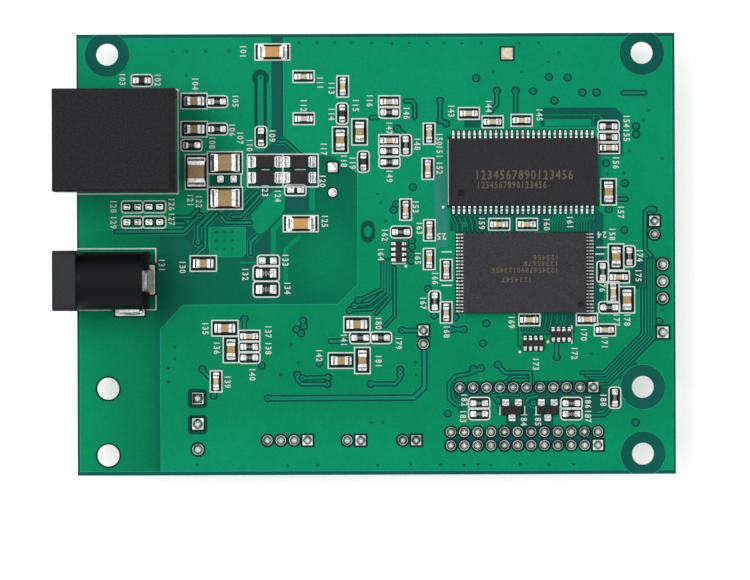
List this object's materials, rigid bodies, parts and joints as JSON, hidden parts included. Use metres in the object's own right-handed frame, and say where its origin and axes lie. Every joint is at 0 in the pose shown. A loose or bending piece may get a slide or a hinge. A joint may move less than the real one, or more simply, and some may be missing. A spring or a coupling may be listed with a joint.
{
  "type": "populated circuit board",
  "caption": "Rectangular controller board with a network jack, a power jack, memory chips, small surface parts and pin headers on its underside.",
  "frame": {"origin": "centre of the four corner mounting holes, on the board's underside", "axes": "+X along the board, from the jack end to the far end; +Y along its width; +Z out of the side with the jacks"},
  "size_m": [0.0928, 0.066, 0.0208],
  "materials": {
    "laminate": "solder mask over glass-epoxy laminate",
    "housing_black": "moulded jack housings",
    "insulator_black": "header insulators",
    "insert_grey": "insert that carries the contact wires",
    "contact_gold": "gold-plated contact wires",
    "pin_metal": "bright tin-plated pins",
    "terminal_metal": "tinned brass terminals",
    "lead_metal": "tinned leads",
    "end_cap_metal": "tinned end caps",
    "solder": "solder",
    "chip_body": "moulded chip bodies",
    "small_body": "moulded diode and transistor bodies",
    "capacitor_tan": "ceramic of the small capacitors",
    "capacitor_brown": "ceramic of the larger capacitors",
    "resistor_black": "glaze of the resistors",
    "ferrite_grey": "ferrite",
    "crystal_ceramic": "ceramic of the crystals"
  },
  "bodies": {
    "root": {"board": "laminate", "network_jack_housing": "housing_black", "network_jack_insert": "insert_grey", "network_jack_contacts": "contact_gold", "power_jack_housing": "housing_black", "power_jack_pin": "pin_metal", "power_jack_rear_terminal": "terminal_metal", "power_jack_side_terminal": "terminal_metal", "power_jack_sleeve_spring": "terminal_metal", "memory_body": "chip_body", "memory_leads": "lead_metal", "flash_body": "chip_body", "flash_leads": "lead_metal", "diode_bodies": "small_body", "diode_leads": "lead_metal", "transistor_bodies": "small_body", "transistor_leads": "lead_metal", "array_bodies": "resistor_black", "array_ends": "end_cap_metal", "wide_capacitor_bodies": "capacitor_brown", "wide_capacitor_ends": "end_cap_metal", "long_capacitor_bodies": "capacitor_brown", "long_capacitor_ends": "end_cap_metal", "medium_capacitor_bodies": "capacitor_brown", "medium_capacitor_ends": "end_cap_metal", "small_capacitor_bodies": "capacitor_tan", "small_capacitor_ends": "end_cap_metal", "medium_resistor_bodies": "resistor_black", "medium_resistor_ends": "end_cap_metal", "small_resistor_bodies": "resistor_black", "small_resistor_ends": "end_cap_metal", "ferrite_bodies": "ferrite_grey", "ferrite_ends": "end_cap_metal", "double_header_insulator": "insulator_black", "double_header_pins": "pin_metal", "long_header_insulator": "insulator_black", "long_header_pins": "pin_metal", "four_way_header_insulator": "insulator_black", "four_way_header_pins": "pin_metal", "two_way_header_insulators": "insulator_black", "two_way_header_pins": "pin_metal", "edge_header_insulator": "insulator_black", "edge_header_pins": "pin_metal", "supply_header_insulator": "insulator_black", "supply_header_posts": "pin_metal", "header_solder": "solder", "jack_solder": "solder", "processor_body": "chip_body", "processor_leads": "lead_metal", "network_controller_body": "chip_body", "network_controller_leads": "lead_metal", "line_transformer_body": "chip_body", "line_transformer_leads": "lead_metal", "power_inductor_body": "ferrite_grey", "power_inductor_terminals": "terminal_metal", "regulator_body": "small_body", "regulator_tab_and_leads": "terminal_metal", "crystal_bases": "crystal_ceramic", "crystal_lids": "lead_metal"}
  },
  "joints": []
}
